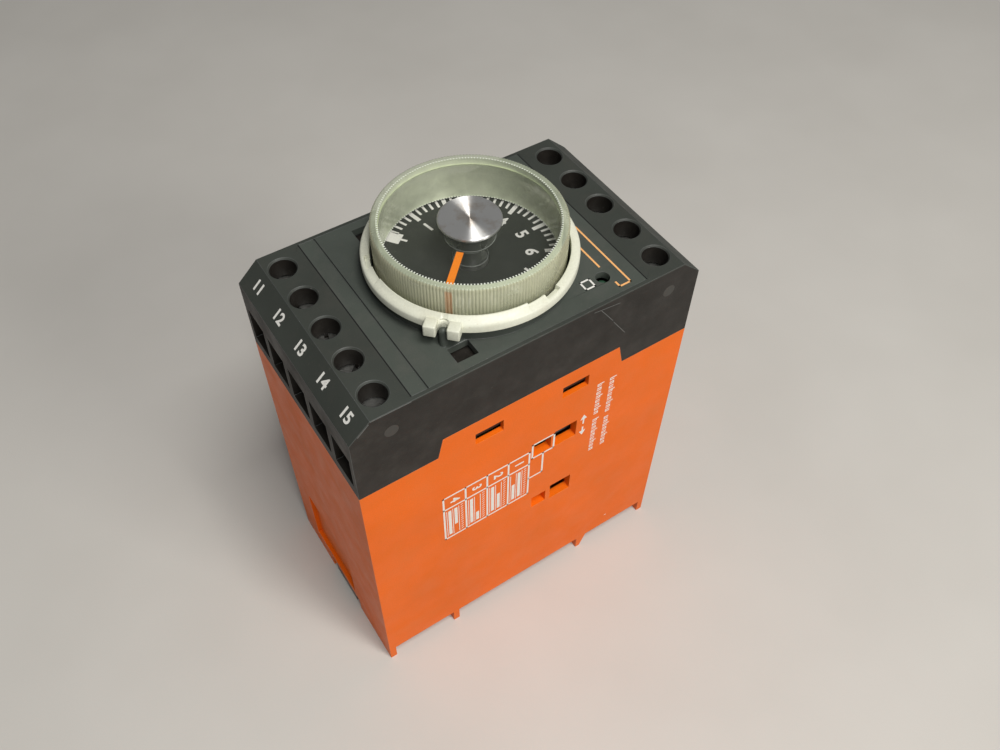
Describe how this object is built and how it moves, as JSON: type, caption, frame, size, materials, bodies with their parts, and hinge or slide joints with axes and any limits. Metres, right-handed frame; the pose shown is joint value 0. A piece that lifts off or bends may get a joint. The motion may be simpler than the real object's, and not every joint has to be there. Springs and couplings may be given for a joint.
{
  "type": "din rail timer",
  "caption": "Rail-mounted time relay: orange base, black terminal cover, clear round setting knob over a 0 to 10 dial, screw terminals, sprung rail latch.",
  "frame": {"origin": "centre of the underside, level with the tips of the feet", "axes": "+Z away from the rail through the knob's axis, +X along the long side (terminals 1 to 5 and the latch are at the -X end), +Y across the module width along the rail"},
  "size_m": [0.0764, 0.045, 0.1052],
  "materials": {
    "orange_housing": "satin",
    "black_cover": "matte",
    "black_plate": "matte",
    "dial_print": "matte",
    "ivory_ring": "satin",
    "clear_knob": "clear",
    "spun_aluminium": "spun",
    "orange_pointer": "satin",
    "tinned_metal": "satin",
    "phenolic": "matte",
    "grey_plastic": "satin",
    "lamp_lens": "clear",
    "circuit_board": "satin",
    "black_parts": "satin",
    "wheel_black": "satin",
    "frame_grey": "satin",
    "copper_winding": "satin",
    "relay_cover": "satin",
    "yellow_film": "satin",
    "blue_sleeve": "satin",
    "resistor_body": "satin",
    "tinned_brass": "satin",
    "latch_grey": "satin",
    "spring_steel": "satin",
    "zinc_steel": "satin"
  },
  "bodies": {
    "housing": {"housing_base": "orange_housing", "top_cover": "black_cover", "front_plate": "black_plate", "dial_plate": "dial_print", "dial_ring": "ivory_ring", "pot_case": "tinned_metal", "pot_track": "phenolic", "indicator_lamp": "lamp_lens", "top_board": "circuit_board", "main_board": "circuit_board", "board_link": "black_parts", "function_wheel_frame": "frame_grey", "transformer_core": "tinned_metal", "transformer_bobbin": "black_parts", "transformer_winding": "copper_winding", "relay_1_base": "black_parts", "relay_1_coil": "copper_winding", "relay_1_yoke": "tinned_metal", "relay_1_case": "relay_cover", "relay_2_base": "black_parts", "relay_2_coil": "copper_winding", "relay_2_yoke": "tinned_metal", "relay_2_case": "relay_cover", "mains_capacitor": "yellow_film", "smoothing_capacitors": "blue_sleeve", "logic_chips": "black_parts", "resistors": "resistor_body", "varistor": "blue_sleeve", "contact_bars": "tinned_brass", "latch_spring": "spring_steel"},
    "dial_knob": {"knob": "clear_knob", "knob_disc": "spun_aluminium", "pointer_line": "orange_pointer", "pot_shaft": "grey_plastic"},
    "function_selector": {"function_wheel": "wheel_black"},
    "latch": {"rail_latch": "latch_grey"},
    "relay_1_moving": {"relay_1_armature": "tinned_metal"},
    "relay_2_moving": {"relay_2_armature": "tinned_metal"},
    "screw_1": {"terminal_screw_1": "zinc_steel"},
    "cage_1": {"clamp_cage_1": "zinc_steel"},
    "screw_2": {"terminal_screw_2": "zinc_steel"},
    "cage_2": {"clamp_cage_2": "zinc_steel"},
    "screw_3": {"terminal_screw_3": "zinc_steel"},
    "cage_3": {"clamp_cage_3": "zinc_steel"},
    "screw_4": {"terminal_screw_4": "zinc_steel"},
    "cage_4": {"clamp_cage_4": "zinc_steel"},
    "screw_5": {"terminal_screw_5": "zinc_steel"},
    "cage_5": {"clamp_cage_5": "zinc_steel"},
    "screw_6": {"terminal_screw_6": "zinc_steel"},
    "cage_6": {"clamp_cage_6": "zinc_steel"},
    "screw_7": {"terminal_screw_7": "zinc_steel"},
    "cage_7": {"clamp_cage_7": "zinc_steel"},
    "screw_8": {"terminal_screw_8": "zinc_steel"},
    "cage_8": {"clamp_cage_8": "zinc_steel"},
    "screw_9": {"terminal_screw_9": "zinc_steel"},
    "cage_9": {"clamp_cage_9": "zinc_steel"},
    "screw_10": {"terminal_screw_10": "zinc_steel"},
    "cage_10": {"clamp_cage_10": "zinc_steel"}
  },
  "joints": [
    {"name": "knob_turn", "type": "hinge", "parent": "housing", "child": "dial_knob", "pos_m": [0, 0, 0.1], "axis": [0, 0, 1], "range_deg": [0, 270]},
    {"name": "function_wheel_turn", "type": "hinge", "parent": "housing", "child": "function_selector", "pos_m": [0.006, -0.0131, 0.0574], "axis": [1, 0, 0], "range_deg": [0, 108]},
    {"name": "latch_slide", "type": "slide", "parent": "housing", "child": "latch", "axis": [-1, 0, 0], "range_m": [0, 0.003], "stiffness_N_per_m": 600, "springref_m": -0.003, "deforming": ["latch_spring"]},
    {"name": "relay_1_pull", "type": "hinge", "parent": "housing", "child": "relay_1_moving", "pos_m": [0.009, 0.0132, 0.0316], "axis": [1, 0, 0], "range_deg": [0, 3], "stiffness_Nm_per_rad": 0.05, "springref_deg": -2.86},
    {"name": "relay_2_pull", "type": "hinge", "parent": "housing", "child": "relay_2_moving", "pos_m": [0.025, 0.0132, 0.0316], "axis": [1, 0, 0], "range_deg": [0, 3], "stiffness_Nm_per_rad": 0.05, "springref_deg": -2.86},
    {"name": "screw_1_turn", "type": "hinge", "parent": "housing", "child": "screw_1", "pos_m": [-0.0306, 0.0176, 0.088], "axis": [0, 0, -1], "range_deg": [0, 2520.5]},
    {"name": "cage_1_rise", "type": "slide", "parent": "housing", "child": "cage_1", "axis": [0, 0, 1], "range_m": [0, 0.0042]},
    {"name": "screw_2_turn", "type": "hinge", "parent": "housing", "child": "screw_2", "pos_m": [-0.0306, 0.0088, 0.088], "axis": [0, 0, -1], "range_deg": [0, 2520.5]},
    {"name": "cage_2_rise", "type": "slide", "parent": "housing", "child": "cage_2", "axis": [0, 0, 1], "range_m": [0, 0.0042]},
    {"name": "screw_3_turn", "type": "hinge", "parent": "housing", "child": "screw_3", "pos_m": [-0.0306, 0, 0.088], "axis": [0, 0, -1], "range_deg": [0, 2520.5]},
    {"name": "cage_3_rise", "type": "slide", "parent": "housing", "child": "cage_3", "axis": [0, 0, 1], "range_m": [0, 0.0042]},
    {"name": "screw_4_turn", "type": "hinge", "parent": "housing", "child": "screw_4", "pos_m": [-0.0306, -0.0088, 0.088], "axis": [0, 0, -1], "range_deg": [0, 2520.5]},
    {"name": "cage_4_rise", "type": "slide", "parent": "housing", "child": "cage_4", "axis": [0, 0, 1], "range_m": [0, 0.0042]},
    {"name": "screw_5_turn", "type": "hinge", "parent": "housing", "child": "screw_5", "pos_m": [-0.0306, -0.0176, 0.088], "axis": [0, 0, -1], "range_deg": [0, 2520.5]},
    {"name": "cage_5_rise", "type": "slide", "parent": "housing", "child": "cage_5", "axis": [0, 0, 1], "range_m": [0, 0.0042]},
    {"name": "screw_6_turn", "type": "hinge", "parent": "housing", "child": "screw_6", "pos_m": [0.0306, 0.0176, 0.088], "axis": [0, 0, -1], "range_deg": [0, 2520.5]},
    {"name": "cage_6_rise", "type": "slide", "parent": "housing", "child": "cage_6", "axis": [0, 0, 1], "range_m": [0, 0.0042]},
    {"name": "screw_7_turn", "type": "hinge", "parent": "housing", "child": "screw_7", "pos_m": [0.0306, 0.0088, 0.088], "axis": [0, 0, -1], "range_deg": [0, 2520.5]},
    {"name": "cage_7_rise", "type": "slide", "parent": "housing", "child": "cage_7", "axis": [0, 0, 1], "range_m": [0, 0.0042]},
    {"name": "screw_8_turn", "type": "hinge", "parent": "housing", "child": "screw_8", "pos_m": [0.0306, 0, 0.088], "axis": [0, 0, -1], "range_deg": [0, 2520.5]},
    {"name": "cage_8_rise", "type": "slide", "parent": "housing", "child": "cage_8", "axis": [0, 0, 1], "range_m": [0, 0.0042]},
    {"name": "screw_9_turn", "type": "hinge", "parent": "housing", "child": "screw_9", "pos_m": [0.0306, -0.0088, 0.088], "axis": [0, 0, -1], "range_deg": [0, 2520.5]},
    {"name": "cage_9_rise", "type": "slide", "parent": "housing", "child": "cage_9", "axis": [0, 0, 1], "range_m": [0, 0.0042]},
    {"name": "screw_10_turn", "type": "hinge", "parent": "housing", "child": "screw_10", "pos_m": [0.0306, -0.0176, 0.088], "axis": [0, 0, -1], "range_deg": [0, 2520.5]},
    {"name": "cage_10_rise", "type": "slide", "parent": "housing", "child": "cage_10", "axis": [0, 0, 1], "range_m": [0, 0.0042]}
  ],
  "couplings": [
    {"joint": "screw_1_turn", "follows": "cage_1_rise", "rad_per_m": 10472},
    {"joint": "screw_2_turn", "follows": "cage_2_rise", "rad_per_m": 10472},
    {"joint": "screw_3_turn", "follows": "cage_3_rise", "rad_per_m": 10472},
    {"joint": "screw_4_turn", "follows": "cage_4_rise", "rad_per_m": 10472},
    {"joint": "screw_5_turn", "follows": "cage_5_rise", "rad_per_m": 10472},
    {"joint": "screw_6_turn", "follows": "cage_6_rise", "rad_per_m": 10472},
    {"joint": "screw_7_turn", "follows": "cage_7_rise", "rad_per_m": 10472},
    {"joint": "screw_8_turn", "follows": "cage_8_rise", "rad_per_m": 10472},
    {"joint": "screw_9_turn", "follows": "cage_9_rise", "rad_per_m": 10472},
    {"joint": "screw_10_turn", "follows": "cage_10_rise", "rad_per_m": 10472}
  ]
}
